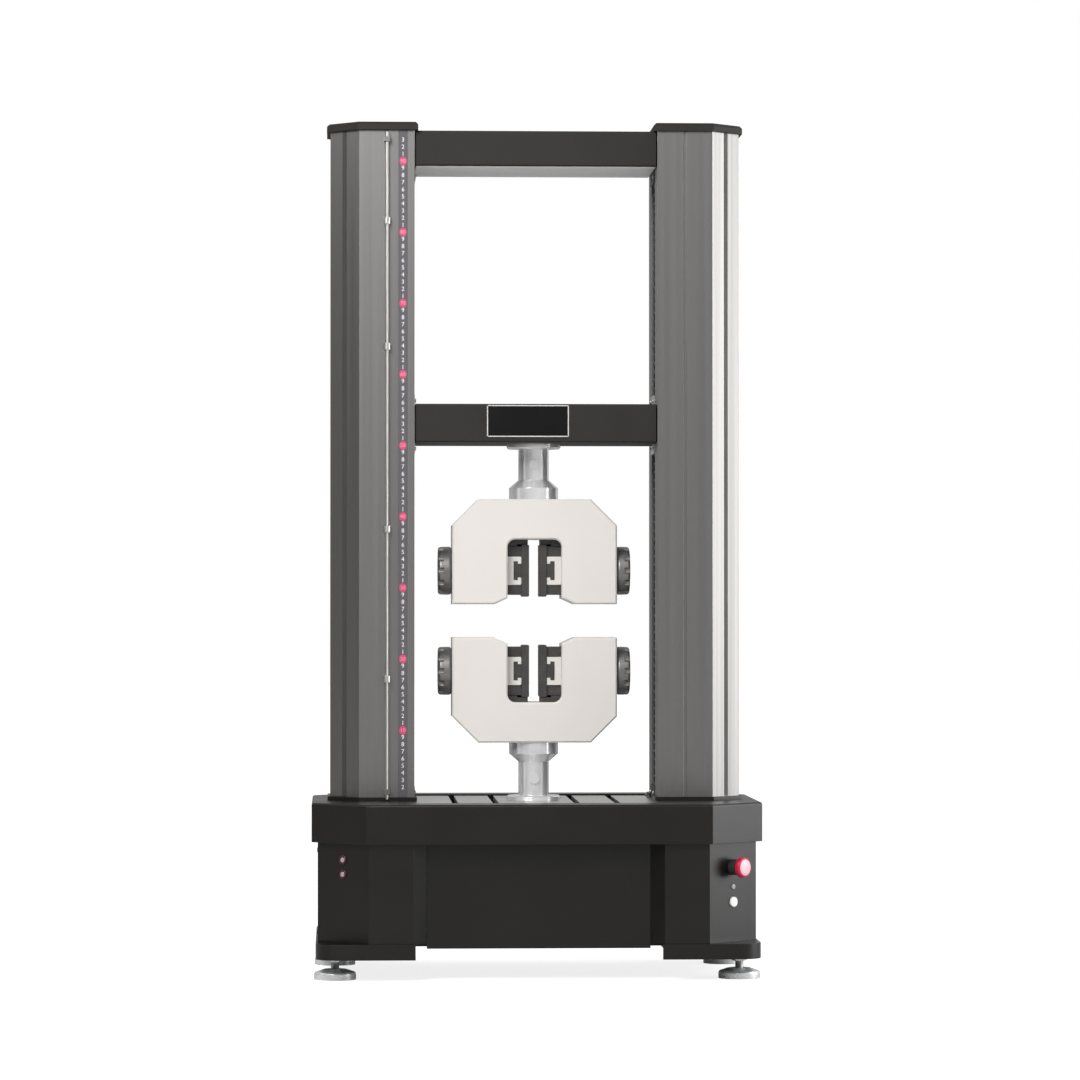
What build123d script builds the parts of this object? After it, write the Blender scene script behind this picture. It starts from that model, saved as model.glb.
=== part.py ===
from build123d import *
import os
from math import cos, radians, sin, sqrt

# Floor-standing universal testing machine with two columns and a ball-screw drive.
# Millimetres. +Z is up, +X to the operator's right, and the front faces -Y.
# The origin is on the floor, midway between the four levelling feet.

# Running and seating clearances
running_gap = 0.08
seat_gap = 0.3
slide_gap = 0.4
fit_gap = 0.1
overrun = 20

# Base: a boxed housing with cut corners, standing on four feet
base_half_width = 430
base_half_depth = 270
base_corner_cut = 99
plinth_bottom = 43
plinth_top = 73
plinth_overhang = 4
plinth_corner_radius = 46
plinth_return = 22
plinth_plate = 8
plinth_wall = 6
sheet = 3
panel_lip = 15
recess_slant = 26
recess_depth = 30
panel_bottom = 63
panel_side_space = 22

# Deck: the painted band that surrounds the table
deck_top = 344
deck_sheet = 5
apron_bottom = 267
apron_overhang = 12
apron_edge_round = 5

# Table: a steel slab with T-slots
table_top = 341
table_side_space = 4
table_end_space = 20
slot_pitch = 80
slots_each_side = 2
slot_mouth = 12
slot_lip = 10
slot_width = 20
slot_height = 9

# Bridge plate under the table, on four corner posts
bridge_thick = 40
bridge_side_space = 18
bridge_half_depth = 112
table_thick = 46
post_side = 36

# Columns: cut-corner covers that hide a ball screw and a guide post
column_margin = 24
column_width = 166
column_half_depth = 120
column_corner_cut = 57
column_wall = 5
column_top = 1668
seam_gap = 1.6
slot_half_width = 48
groove_width = 6
groove_depth = 3
cap_thick = 16
cap_overhang = 7
cap_bevel = 5
skirt_height = 8
skirt_thick = 5
cap_screw_inset = 22

# Screw and guide post
screw_offset = 50
screw_radius = 16
screw_neck_radius = 12
guide_offset = 114
guide_radius = 20
bearing_radius = 30
bearing_height = 30
bearing_end_space = 3

# Toothed belt drive
pulley_radius = 42
pulley_width = 24
pulley_flange_radius = 46
pulley_flange = 3
pulley_bottom = 190
motor_pulley_radius = 21
motor_pulley_flange_radius = 25
motor_y = 118
motor_side = 110
motor_height = 96
motor_edge_round = 10
motor_shaft_radius = 9
belt_thick = 5
belt_width = 20
belt_tooth_gap = 0.6

# Top beam and crosshead share one depth and the same narrow ends
beam_half_depth = 114
beam_height = 70
beam_edge_round = 4
beam_side_gap = 2
tongue_half_width = 42
tongue_end_space = 16
crosshead_height = 76
nut_radius = 26
nut_flange_radius = 32
nut_flange = 12
bush_radius = 26
bush_flange_radius = 29
bush_flange = 8
load_cell_radius = 50
load_cell_height = 50
cell_screw_count = 8
cell_screw_circle = 38
screw_head_radius = 6.5
screw_head_height = 6
screw_head_room = 0.6
lifting_hole_radius = 7
lifting_hole_depth = 30
lifting_hole_pitch = 300

# Bellows that close the column slots
bellows_pitch = 17
bellows_start = 2
bellows_depth = 9
bellows_skin = 1.2
bellows_half_width = 45
moving_clamp_height = 20
fixed_clamp_height = 26
clamp_proud = 2
clamp_thick = 14
clamp_half_width = 46

# Load-string adapters between the crosshead or table and a grip
adapter_flange_radius = 54
adapter_flange = 10
adapter_flange_edge = 3
adapter_neck_radius = 30.5
adapter_collar_radius = 49
adapter_collar = 23
adapter_cone = 16
adapter_stud_radius = 17
adapter_stud = 42
pin_radius = 7
pin_head_radius = 10
pin_head = 4

# Vise grip: a forked casting, drawn with its fork pointing down from z = 0
grip_half_width = 164
grip_height = 209
grip_half_depth = 55
grip_shoulder_cut = 52
grip_edge_cut = 3
mouth_half_width = 54
mouth_top = 80
mouth_corner_round = 16
leg_flat_start = 80
leg_toe_rise = 12
jaw_axis_drop = 142
upper_string = 111
lower_string = 116
grip_space = 66

# Jaw: a serrated insert whose dovetail hangs in a C-shaped carrier
jaw_gap = 20
insert_thick = 15
insert_height = 104
insert_half_depth = 30
insert_edge_round = 3
rib_half_depth = 24
rib_height = 20
rib_reach = 60
tail_neck_height = 27
tail_head_height = 37
tail_head_thick = 8
carrier_height = 56
carrier_half_depth = 28
carrier_lip = 16
carrier_reach = 70
carrier_edge_round = 3
serration_count = 16
serration_depth = 0.8
jaw_open_travel = 8
pocket_end_space = 4
clamp_screw_radius = 11
clamp_screw_reach = 52

# Handwheels at the ends of each grip
wheel_radius = 48
wheel_width = 27
wheel_edge_round = 6
wheel_notch_count = 12
wheel_notch_radius = 7
wheel_notch_bite = 4
wheel_notch_width = 11
wheel_dish_radius = 26
wheel_dish = 5

# Levelling feet
foot_side_inset = 34
foot_end_inset = 88
pad_radius = 41
pad_rim = 14
pad_rim_round = 5
pad_height = 20
pad_crown_radius = 22
foot_stud_radius = 8
lock_nut_radius = 15
lock_nut_height = 9
foot_boss_radius = 20
pad_socket_depth = 6

# Travel-limit rod on the left column, with two adjustable stops
rod_radius = 2.8
rod_standoff = 9
rod_travel = 4
rod_guide_side = 12
rod_guide_height = 10
collar_radius = 7
collar_height = 13
upper_end_collar_drop = 180
upper_stop_rise = 112
lower_stop_drop = 172
lower_end_collar_rise = 241

# Scale tape beside the rod
tape_edge_space = 14
tape_width = 18
tape_thick = 1

# Push buttons and lamps on the cut front corners
estop_z = 219
run_lamp_z = 181
start_button_z = 151
estop_head_radius = 20
estop_head = 10
estop_head_round = 4
estop_stem_radius = 11
estop_stem_length = 12
estop_base_radius = 15.5
estop_base_height = 16
estop_travel = 5
button_room = 2
contact_block_side = 30
contact_block_depth = 34
start_button_radius = 10
start_button_proud = 4
start_button_sunk = 14
start_button_round = 1.5
run_lamp_radius = 5
lamp_proud = 2
lamp_sunk = 10
left_lamp_radius = 5
left_lamp_z = 235
left_lamp_pitch = 28

# Rear services: inlet, vents and the drive electronics
inlet_side_space = 68
inlet_z = 130
inlet_width = 50
inlet_height = 30
inlet_depth = 24
inlet_flange = 3
inlet_flange_border = 6
inlet_socket_width = 26
inlet_socket_height = 18
inlet_socket_depth = 18
louvre_count = 8
louvre_pitch = 14
louvre_width = 120
louvre_height = 6
controller_width = 180
controller_depth = 70
controller_height = 100

# Widths and depths that follow from the base
column_outer = base_half_width - column_margin
column_inner = column_outer - column_width
screw_x = column_inner + screw_offset
guide_x = column_inner + guide_offset
table_half_width = column_inner - table_side_space
recess_half_width = column_inner - panel_side_space
plinth_inner_end = recess_half_width + plinth_return
inlet_x = recess_half_width - inlet_side_space
bridge_half_width = base_half_width - bridge_side_space
tongue_end = column_outer - tongue_end_space
foot_x = base_half_width - foot_side_inset
foot_y = base_half_depth - foot_end_inset
panel_face = base_half_depth - recess_depth
table_half_depth = panel_face - panel_lip - table_end_space

# Heights that follow from the sizes above
beam_bottom = column_top - beam_height
lower_grip_bottom = table_top + lower_string
upper_grip_top = lower_grip_bottom + 2 * grip_height + grip_space
crosshead_bottom = upper_grip_top + upper_string
crosshead_top = crosshead_bottom + crosshead_height
bridge_top = table_top - table_thick
bridge_bottom = bridge_top - bridge_thick
deck_underside = deck_top - deck_sheet
upper_bearing_bottom = beam_bottom - bearing_height
lower_bearing_top = bridge_top + bearing_height
front_face = -column_half_depth
cap_top = column_top + cap_thick
rod_y = front_face - rod_standoff
rod_x = -(column_inner + column_outer - column_corner_cut) / 2
upper_end_collar_z = column_top - upper_end_collar_drop
upper_stop_z = crosshead_top + upper_stop_rise
lower_stop_z = crosshead_bottom - lower_stop_drop
lower_end_collar_z = deck_top + lower_end_collar_rise

low_corner = (Align.MIN, Align.MIN, Align.MIN)
on_base = (Align.CENTER, Align.CENTER, Align.MIN)


def block(x0, x1, y0, y1, z0, z1):
    return Pos(x0, y0, z0) * Box(x1 - x0, y1 - y0, z1 - z0, align=low_corner)


def rod(x, y, z0, z1, radius):
    return Pos(x, y, z0) * Cylinder(radius, z1 - z0, align=on_base)


def prism(points, z0, z1):
    outline = make_face(Polyline(*points, close=True))
    return extrude(Pos(0, 0, z0) * outline, amount=z1 - z0)


def mirrored(shape):
    return mirror(shape, about=Plane.YZ)


def pair(shape):
    return Compound(children=[mirrored(shape), shape])


def save(name, shape):
    export_step(shape, os.path.join("parts", name + ".step"))


def cut_corner_points(half_width, half_depth, cut):
    """Corners of a rectangle whose four corners are cut at 45 degrees."""
    right = [
        (half_width - cut, -half_depth),
        (half_width, cut - half_depth),
        (half_width, half_depth - cut),
        (half_width - cut, half_depth),
    ]
    left = [(-x, y) for x, y in reversed(right)]
    return right + left


def base_points(grow):
    """The base outline, moved outwards by grow with its cut corners kept parallel."""
    cut = base_corner_cut + grow * (2 - sqrt(2))
    return cut_corner_points(base_half_width + grow, base_half_depth + grow, cut)


# Base frame: plinths with a floor plate, corner posts and the bridge plate
def plinth_block(inset, top):
    half_width = base_half_width + plinth_overhang - inset
    half_depth = base_half_depth + plinth_overhang - inset
    body = block(-half_width, half_width, -half_depth, half_depth, plinth_bottom, top)
    return fillet(body.edges().filter_by(Axis.Z), plinth_corner_radius - inset)


def base_frame():
    outer = plinth_block(0, plinth_top)
    hollow = plinth_block(plinth_wall, plinth_top - plinth_plate)
    bay = block(
        -plinth_inner_end, plinth_inner_end,
        -base_half_depth - overrun, base_half_depth + overrun,
        plinth_bottom, plinth_top,
    )
    frame = outer - hollow - bay
    frame += block(
        -plinth_inner_end - overrun, plinth_inner_end + overrun,
        -table_half_depth, table_half_depth,
        plinth_top - plinth_plate, plinth_top,
    )
    for side in (-1, 1):
        for end in (-1, 1):
            x = side * (bridge_half_width - post_side / 2)
            y = end * (bridge_half_depth - post_side / 2)
            frame += block(
                x - post_side / 2, x + post_side / 2,
                y - post_side / 2, y + post_side / 2,
                plinth_top, bridge_bottom,
            )
            frame += rod(
                side * foot_x, end * foot_y,
                plinth_bottom, plinth_top - plinth_plate,
                foot_boss_radius,
            )
            frame -= rod(
                side * foot_x, end * foot_y,
                plinth_bottom, plinth_top,
                foot_stud_radius + fit_gap,
            )
    frame += block(
        -bridge_half_width, bridge_half_width,
        -bridge_half_depth, bridge_half_depth,
        bridge_bottom, bridge_top,
    )
    for side in (-1, 1):
        frame -= rod(side * screw_x, 0, bridge_bottom, bridge_top, screw_neck_radius + slide_gap)
    return frame


# Table: the slab between the columns, with T-slots from front to back
def table_plate():
    plate = block(
        -table_half_width, table_half_width,
        -table_half_depth, table_half_depth,
        bridge_top, table_top,
    )
    for i in range(1, slots_each_side + 1):
        plate = table_slot(table_slot(plate, i * slot_pitch), -i * slot_pitch)
    return plate - rod(0, 0, table_top - adapter_stud - fit_gap, table_top, adapter_stud_radius + fit_gap)


def table_slot(plate, x):
    plate -= block(
        x - slot_mouth / 2, x + slot_mouth / 2,
        -table_half_depth, table_half_depth,
        table_top - slot_lip - slot_height, table_top,
    )
    return plate - block(
        x - slot_width / 2, x + slot_width / 2,
        -table_half_depth, table_half_depth,
        table_top - slot_lip - slot_height, table_top - slot_lip,
    )


# Deck cover: the top band of the base, open over the table and under the columns
def deck_cover():
    cover = prism(base_points(apron_overhang), apron_bottom, deck_top)
    cover = fillet(cover.faces().sort_by(Axis.Z)[-1].edges(), apron_edge_round)
    cover -= prism(base_points(apron_overhang - deck_sheet), apron_bottom, deck_underside)
    cover -= block(
        -table_half_width - seat_gap, table_half_width + seat_gap,
        -table_half_depth - seat_gap, table_half_depth + seat_gap,
        deck_underside, deck_top,
    )
    well = block(
        screw_x - bearing_radius - column_wall, guide_x + guide_radius + column_wall,
        -bearing_radius - column_wall, bearing_radius + column_wall,
        deck_underside, deck_top,
    )
    skirt = prism(column_points(-skirt_thick), deck_top, deck_top + skirt_height)
    skirt -= prism(column_points(-fit_gap), deck_top, deck_top + skirt_height)
    skirt -= block(
        column_inner - skirt_thick, column_inner,
        -slot_half_width, slot_half_width, deck_top, deck_top + skirt_height,
    )
    return cover - well - mirrored(well) + skirt + mirrored(skirt)


# Pedestal cover: one bent sheet round each end of the base
def pedestal_points(inset):
    half_width = base_half_width - inset
    half_depth = base_half_depth - inset
    cut = base_corner_cut - inset * (2 - sqrt(2))
    inner = recess_half_width + inset
    step = recess_half_width + recess_slant + inset * recess_slant / recess_depth / 2
    right = [
        (inner, recess_depth - base_half_depth + inset / 2),
        (step, -half_depth),
        (half_width - cut, -half_depth),
        (half_width, cut - half_depth),
    ]
    return right + [(x, -y) for x, y in reversed(right)]


def face_plane(side, z):
    """A plane on the cut front corner, looking out, with its centre at height z."""
    x = side * (base_half_width - base_corner_cut / 2)
    y = base_corner_cut / 2 - base_half_depth
    return Plane(origin=(x, y, z), x_dir=(1, side, 0), z_dir=(side, -1, 0))


def on_face(side, z, start, length, radius):
    """A round bar square to the cut corner, from start, measured out of the face."""
    bar = Cylinder(radius, length, align=on_base)
    return face_plane(side, z) * (Pos(0, 0, start) * bar)


def pedestal_cover(side):
    shell = prism(pedestal_points(0), plinth_top, deck_underside)
    shell -= prism(pedestal_points(sheet), plinth_top, deck_underside)
    shell -= block(
        recess_half_width, recess_half_width + sheet,
        recess_depth + panel_lip - base_half_depth, base_half_depth - recess_depth - panel_lip,
        plinth_top, deck_underside,
    )
    if side < 0:
        shell = mirrored(shell)
        for i in range(2):
            z = left_lamp_z - i * left_lamp_pitch
            shell -= on_face(side, z, -2 * sheet, 3 * sheet, left_lamp_radius + fit_gap)
        return shell
    shell -= on_face(side, estop_z, -2 * sheet, 3 * sheet, estop_stem_radius + seat_gap)
    shell -= on_face(side, run_lamp_z, -2 * sheet, 3 * sheet, run_lamp_radius + fit_gap)
    shell -= on_face(side, start_button_z, -2 * sheet, 3 * sheet, start_button_radius + seat_gap)
    return shell


# Front and rear panels: channels of sheet between the pedestals
def centre_panel():
    half = recess_half_width - seat_gap
    face = -panel_face
    panel = block(-half, half, face, face + panel_lip, panel_bottom, deck_underside)
    return panel - block(
        sheet - half, half - sheet, face + sheet, face + panel_lip, panel_bottom, deck_underside
    )


def rear_panel():
    panel = mirror(centre_panel(), about=Plane.XZ)
    rear = panel_face
    for i in range(louvre_count):
        z = inlet_z + (i - 1) * louvre_pitch
        panel -= block(
            -inlet_x - louvre_width / 2, louvre_width / 2 - inlet_x,
            rear - sheet, rear, z, z + louvre_height,
        )
    return panel - block(
        inlet_x - inlet_width / 2 - seat_gap, inlet_x + inlet_width / 2 + seat_gap,
        rear - sheet, rear,
        inlet_z - inlet_height / 2 - seat_gap, inlet_z + inlet_height / 2 + seat_gap,
    )


# Mains inlet: a socket flanged onto the rear panel
def power_inlet():
    rear = panel_face
    face = rear + inlet_flange
    body = block(
        inlet_x - inlet_width / 2, inlet_x + inlet_width / 2,
        rear - inlet_depth, rear,
        inlet_z - inlet_height / 2, inlet_z + inlet_height / 2,
    )
    border_x = inlet_width / 2 + inlet_flange_border
    border_z = inlet_height / 2 + inlet_flange_border
    body += block(
        inlet_x - border_x, inlet_x + border_x, rear, face, inlet_z - border_z, inlet_z + border_z
    )
    return body - block(
        inlet_x - inlet_socket_width / 2, inlet_x + inlet_socket_width / 2,
        face - inlet_socket_depth, face,
        inlet_z - inlet_socket_height / 2, inlet_z + inlet_socket_height / 2,
    )


# Columns: each cover is two extrusions that meet at a seam down the cut front corner
def column_points(inset):
    cut = column_corner_cut - inset * (2 - sqrt(2))
    half_depth = column_half_depth - inset
    inner = column_inner + inset
    outer = column_outer - inset
    return [
        (inner, -half_depth), (outer - cut, -half_depth), (outer, cut - half_depth),
        (outer, half_depth - cut), (outer - cut, half_depth), (inner, half_depth),
    ]


def column_shell():
    shell = prism(column_points(0), deck_top, column_top)
    shell -= prism(column_points(column_wall), deck_top, column_top)
    return shell - block(
        column_inner, column_inner + column_wall,
        -slot_half_width, slot_half_width, deck_top, column_top,
    )


def seam_side(shift):
    """Everything in front of the seam, which crosses the middle of the cut corner."""
    middle_x = column_outer - column_corner_cut / 2 + shift
    middle_y = column_corner_cut / 2 - column_half_depth + shift
    reach = column_corner_cut
    points = [
        (column_inner - reach, middle_y + reach), (middle_x - reach, middle_y + reach),
        (middle_x + reach, middle_y - reach), (column_inner - reach, middle_y - reach),
    ]
    return prism(points, deck_top, column_top)


def front_cover():
    groove_x = -rod_x
    groove = block(
        groove_x - groove_width / 2, groove_x + groove_width / 2,
        -column_half_depth, groove_depth - column_half_depth, deck_top, column_top,
    )
    return (column_shell() & seam_side(0)) - groove


def rear_cover():
    return column_shell() - seam_side(seam_gap / sqrt(2))


def column_cap():
    cap = prism(column_points(-cap_overhang), column_top, cap_top)
    cap = chamfer(cap.faces().sort_by(Axis.Z)[-1].edges(), cap_bevel)
    far = column_outer - column_corner_cut
    for x in (column_inner + cap_screw_inset, far):
        for y in (cap_screw_inset - column_half_depth, column_half_depth - cap_screw_inset):
            cap -= screw_pocket(x, y, cap_top)
    return cap


def screw_pocket(x, y, top):
    return rod(x, y, top - screw_head_height - screw_head_room, top, screw_head_radius + screw_head_room)


# Screws, guide posts and their bearings, on the right-hand side
def ball_screw():
    screw = rod(screw_x, 0, lower_bearing_top, upper_bearing_bottom, screw_radius)
    screw += rod(screw_x, 0, pulley_bottom, beam_bottom - bearing_end_space, screw_neck_radius)
    screw += rod(screw_x, 0, pulley_bottom, pulley_bottom + pulley_width, pulley_radius)
    for z in (pulley_bottom - pulley_flange, pulley_bottom + pulley_width):
        screw += rod(screw_x, 0, z, z + pulley_flange, pulley_flange_radius)
    return screw


def screw_bearings():
    housings = []
    for z in (bridge_top, upper_bearing_bottom):
        ring = rod(screw_x, 0, z, z + bearing_height, bearing_radius)
        ring -= rod(screw_x, 0, z, z + bearing_height, screw_neck_radius + running_gap)
        housings += [ring, mirrored(ring)]
    return Compound(children=housings)


def guide_post():
    return rod(guide_x, 0, bridge_top, beam_bottom, guide_radius)


# Drive: motor, its pulley and the belt that turns both screws
def servo_motor():
    bottom = plinth_top
    body = block(
        -motor_side / 2, motor_side / 2,
        motor_y - motor_side / 2, motor_y + motor_side / 2,
        bottom, bottom + motor_height,
    )
    return fillet(body.edges().filter_by(Axis.Z), motor_edge_round)


def motor_pulley():
    pulley = rod(0, motor_y, pulley_bottom, pulley_bottom + pulley_width, motor_pulley_radius)
    for z in (pulley_bottom - pulley_flange, pulley_bottom + pulley_width):
        pulley += rod(0, motor_y, z, z + pulley_flange, motor_pulley_flange_radius)
    return pulley + rod(
        0, motor_y, plinth_top + motor_height + seat_gap, pulley_bottom, motor_shaft_radius
    )


def belt_loop(grow):
    """The stretched outline round the three pulleys, moved outwards by grow."""
    circles = [
        Pos(-screw_x, 0) * Circle(pulley_radius + grow),
        Pos(screw_x, 0) * Circle(pulley_radius + grow),
        Pos(0, motor_y) * Circle(motor_pulley_radius + grow),
    ]
    edges = [edge for circle in circles for edge in circle.edges()]
    return make_hull(edges)


def drive_belt():
    bottom = pulley_bottom + (pulley_width - belt_width) / 2
    loop = belt_loop(belt_tooth_gap + belt_thick) - belt_loop(belt_tooth_gap)
    return extrude(Pos(0, 0, bottom) * loop, amount=belt_width)


def drive_controller():
    return block(
        -inlet_x - controller_width / 2, controller_width / 2 - inlet_x,
        -controller_depth / 2, controller_depth / 2,
        plinth_top, plinth_top + controller_height,
    )


# Beams: the top beam and the crosshead, with ends that reach into the columns
def beam(bottom, height):
    body = block(
        beam_side_gap - column_inner, column_inner - beam_side_gap,
        -beam_half_depth, beam_half_depth,
        bottom, bottom + height,
    )
    body = fillet(body.edges().filter_by(Axis.X), beam_edge_round)
    return body + block(
        -tongue_end, tongue_end, -tongue_half_width, tongue_half_width, bottom, bottom + height
    )


def top_beam():
    body = beam(beam_bottom, beam_height)
    for side in (-1, 1):
        x = side * lifting_hole_pitch / 2
        body -= rod(x, 0, column_top - lifting_hole_depth, column_top, lifting_hole_radius)
    return body


def crosshead():
    body = beam(crosshead_bottom, crosshead_height)
    for side in (-1, 1):
        body -= rod(side * screw_x, 0, crosshead_bottom, crosshead_top, nut_radius + fit_gap)
        body -= rod(side * guide_x, 0, crosshead_bottom, crosshead_top, bush_radius + fit_gap)
    for i in range(cell_screw_count):
        angle = radians(360 * (i + 1 / 2) / cell_screw_count)
        body -= screw_pocket(cell_screw_circle * cos(angle), cell_screw_circle * sin(angle), crosshead_top)
    return body - rod(
        0, 0, crosshead_bottom, crosshead_bottom + load_cell_height, load_cell_radius + fit_gap
    )


def ball_nut():
    nut = rod(screw_x, 0, crosshead_bottom, crosshead_top, nut_radius)
    nut += rod(screw_x, 0, crosshead_bottom - nut_flange, crosshead_bottom, nut_flange_radius)
    return nut - rod(
        screw_x, 0, crosshead_bottom - nut_flange, crosshead_top, screw_radius + running_gap
    )


def guide_bush():
    bush = rod(guide_x, 0, crosshead_bottom, crosshead_top, bush_radius)
    bush += rod(guide_x, 0, crosshead_top, crosshead_top + bush_flange, bush_flange_radius)
    return bush - rod(
        guide_x, 0, crosshead_bottom, crosshead_top + bush_flange, guide_radius + running_gap
    )


def load_cell():
    cell = rod(0, 0, crosshead_bottom, crosshead_bottom + load_cell_height, load_cell_radius)
    return cell - rod(
        0, 0, crosshead_bottom, crosshead_bottom + adapter_stud + fit_gap, adapter_stud_radius + fit_gap
    )


# Bellows: a folded skin behind the slot, between a fixed and a moving clamp
def bellows(bottom, top):
    folds = round((top - bottom) / bellows_pitch)
    step = (top - bottom) / folds / 2
    near = []
    for i in range(2 * folds + 1):
        x = column_inner + bellows_start + (i % 2) * bellows_depth
        near.append((x, bottom + i * step))
    far = [(x + bellows_skin, z) for x, z in reversed(near)]
    outline = make_face(Polyline(*(near + far), close=True))
    return extrude(Plane.XZ * outline, amount=bellows_half_width, both=True)


def slot_clamp(bottom, height):
    start = column_inner - clamp_proud
    return block(
        start, start + clamp_thick, -clamp_half_width, clamp_half_width, bottom, bottom + height
    )


# Load string: turned adapters, one under the crosshead and one on the table
def adapter(length):
    """Turned along z, with its flange face at z = 0 and its collar face at z = length."""
    collar_start = length - adapter_collar
    cone_start = collar_start - adapter_cone
    profile = [
        (0, -adapter_stud),
        (adapter_stud_radius, -adapter_stud),
        (adapter_stud_radius, 0),
        (adapter_flange_radius, 0),
        (adapter_flange_radius, adapter_flange - adapter_flange_edge),
        (adapter_flange_radius - adapter_flange_edge, adapter_flange),
        (adapter_neck_radius, adapter_flange),
        (adapter_neck_radius, cone_start),
        (adapter_collar_radius, collar_start),
        (adapter_collar_radius, length),
        (adapter_stud_radius, length),
        (adapter_stud_radius, length + adapter_stud),
        (0, length + adapter_stud),
    ]
    turned = revolve(Plane.XZ * make_face(Polyline(*profile, close=True)), Axis.Z)
    hole = Rot(X=90) * Cylinder(pin_radius + fit_gap, 3 * adapter_neck_radius)
    return turned - Pos(0, 0, pin_height(length)) * hole


def pin_height(length):
    return (adapter_flange + length - adapter_collar - adapter_cone) / 2


def coupling_pin(length):
    pin = Rot(X=90) * Cylinder(pin_radius, 2 * (adapter_neck_radius + pin_head))
    head = Rot(X=90) * Cylinder(pin_head_radius, pin_head)
    middle = adapter_neck_radius + pin_head / 2
    seat = Pos(0, -middle - slide_gap, 0) * head
    return Pos(0, 0, pin_height(length)) * (pin + seat)


# Grip casting: a fork with a pocket in each leg for the jaw and a bore for the clamp screw
def grip_body():
    shoulder = grip_half_width - grip_shoulder_cut
    toe = leg_toe_rise - grip_height
    right = [
        (shoulder, 0),
        (grip_half_width, -grip_shoulder_cut),
        (grip_half_width, -grip_height),
        (leg_flat_start, -grip_height),
        (mouth_half_width, toe),
        (mouth_half_width, -mouth_top),
    ]
    points = right + [(-x, z) for x, z in reversed(right)]
    outline = make_face(Polyline(*points, close=True))
    body = extrude(Plane.XZ * outline, amount=grip_half_depth, both=True)
    roof = body.edges().filter_by(Axis.Y).filter_by_position(Axis.Z, -mouth_top, -mouth_top)
    body = fillet(roof, mouth_corner_round)
    rims = body.faces().filter_by(Axis.Y)
    body = chamfer(rims.edges(), grip_edge_cut)
    body -= rod(0, 0, -adapter_stud - fit_gap, 0, adapter_stud_radius + fit_gap)
    cut = leg_pocket()
    return body - cut - mirrored(cut)


def leg_pocket():
    """Clearance for one jaw and its clamp screw, cut into the right-hand leg."""
    room = slide_gap
    start = mouth_half_width - mouth_corner_round
    carrier_end = carrier_start() + carrier_reach + jaw_open_travel + pocket_end_space
    rib_end = insert_back() + rib_reach + jaw_open_travel + pocket_end_space
    pocket = block(
        start, carrier_end,
        -carrier_half_depth - room, carrier_half_depth + room,
        -jaw_axis_drop - carrier_height / 2 - room, carrier_height / 2 + room - jaw_axis_drop,
    )
    tall = carrier_height / 2 + rib_height + 2 * room
    pocket += block(
        start, rib_end,
        -rib_half_depth - room, rib_half_depth + room,
        -jaw_axis_drop - tall, tall - jaw_axis_drop,
    )
    bore = Rot(Y=90) * Cylinder(clamp_screw_radius + running_gap, grip_half_width, align=on_base)
    return pocket + Pos(start, 0, -jaw_axis_drop) * bore


def insert_back():
    return jaw_gap / 2 + insert_thick


def carrier_start():
    return insert_back() + carrier_lip


# Jaw insert: serrated plate, rear ribs and a T-shaped tail
def jaw_insert():
    face = jaw_gap / 2
    back = insert_back()
    plate = block(
        face, back, -insert_half_depth, insert_half_depth,
        -jaw_axis_drop - insert_height / 2, insert_height / 2 - jaw_axis_drop,
    )
    plate = fillet(plate.edges().filter_by(Axis.Y), insert_edge_round)
    pitch = (insert_height - 4 * insert_edge_round) / serration_count
    for i in range(serration_count):
        z = (i - (serration_count - 1) / 2) * pitch - jaw_axis_drop
        tooth = Rot(Y=45) * Box(
            serration_depth * sqrt(2), 3 * insert_half_depth, serration_depth * sqrt(2)
        )
        plate -= Pos(face, 0, z) * tooth
    inner = carrier_height / 2 + slide_gap
    for side in (-1, 1):
        middle = side * (inner + rib_height / 2) - jaw_axis_drop
        plate += block(
            back, back + rib_reach, -rib_half_depth, rib_half_depth,
            middle - rib_height / 2, middle + rib_height / 2,
        )
    head_start = carrier_start() - tail_head_thick - seat_gap
    plate += block(
        back, head_start, -carrier_half_depth, carrier_half_depth,
        -jaw_axis_drop - tail_neck_height / 2, tail_neck_height / 2 - jaw_axis_drop,
    )
    return plate + block(
        head_start, head_start + tail_head_thick, -carrier_half_depth, carrier_half_depth,
        -jaw_axis_drop - tail_head_height / 2, tail_head_height / 2 - jaw_axis_drop,
    )


# Jaw carrier: a C-shaped holder on the bar that the clamp screw drives
def jaw_carrier():
    start = insert_back() + seat_gap
    middle = -jaw_axis_drop
    bar = block(
        start, carrier_start() + carrier_reach, -carrier_half_depth, carrier_half_depth,
        middle - carrier_height / 2, middle + carrier_height / 2,
    )
    bar = fillet(bar.edges().filter_by(Axis.Y).group_by(Axis.X)[0], carrier_edge_round)
    neck = tail_neck_height / 2 + seat_gap
    bar -= block(
        start, carrier_start(), -carrier_half_depth, carrier_half_depth, middle - neck, middle + neck
    )
    head = tail_head_height / 2 + seat_gap
    bar -= block(
        carrier_start() - tail_head_thick - 2 * seat_gap, carrier_start(),
        -carrier_half_depth, carrier_half_depth, middle - head, middle + head,
    )
    bore = Rot(Y=90) * Cylinder(
        clamp_screw_radius + running_gap, clamp_screw_reach + jaw_open_travel + seat_gap,
        align=(Align.CENTER, Align.CENTER, Align.MAX),
    )
    return bar - Pos(carrier_start() + carrier_reach, 0, middle) * bore


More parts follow.
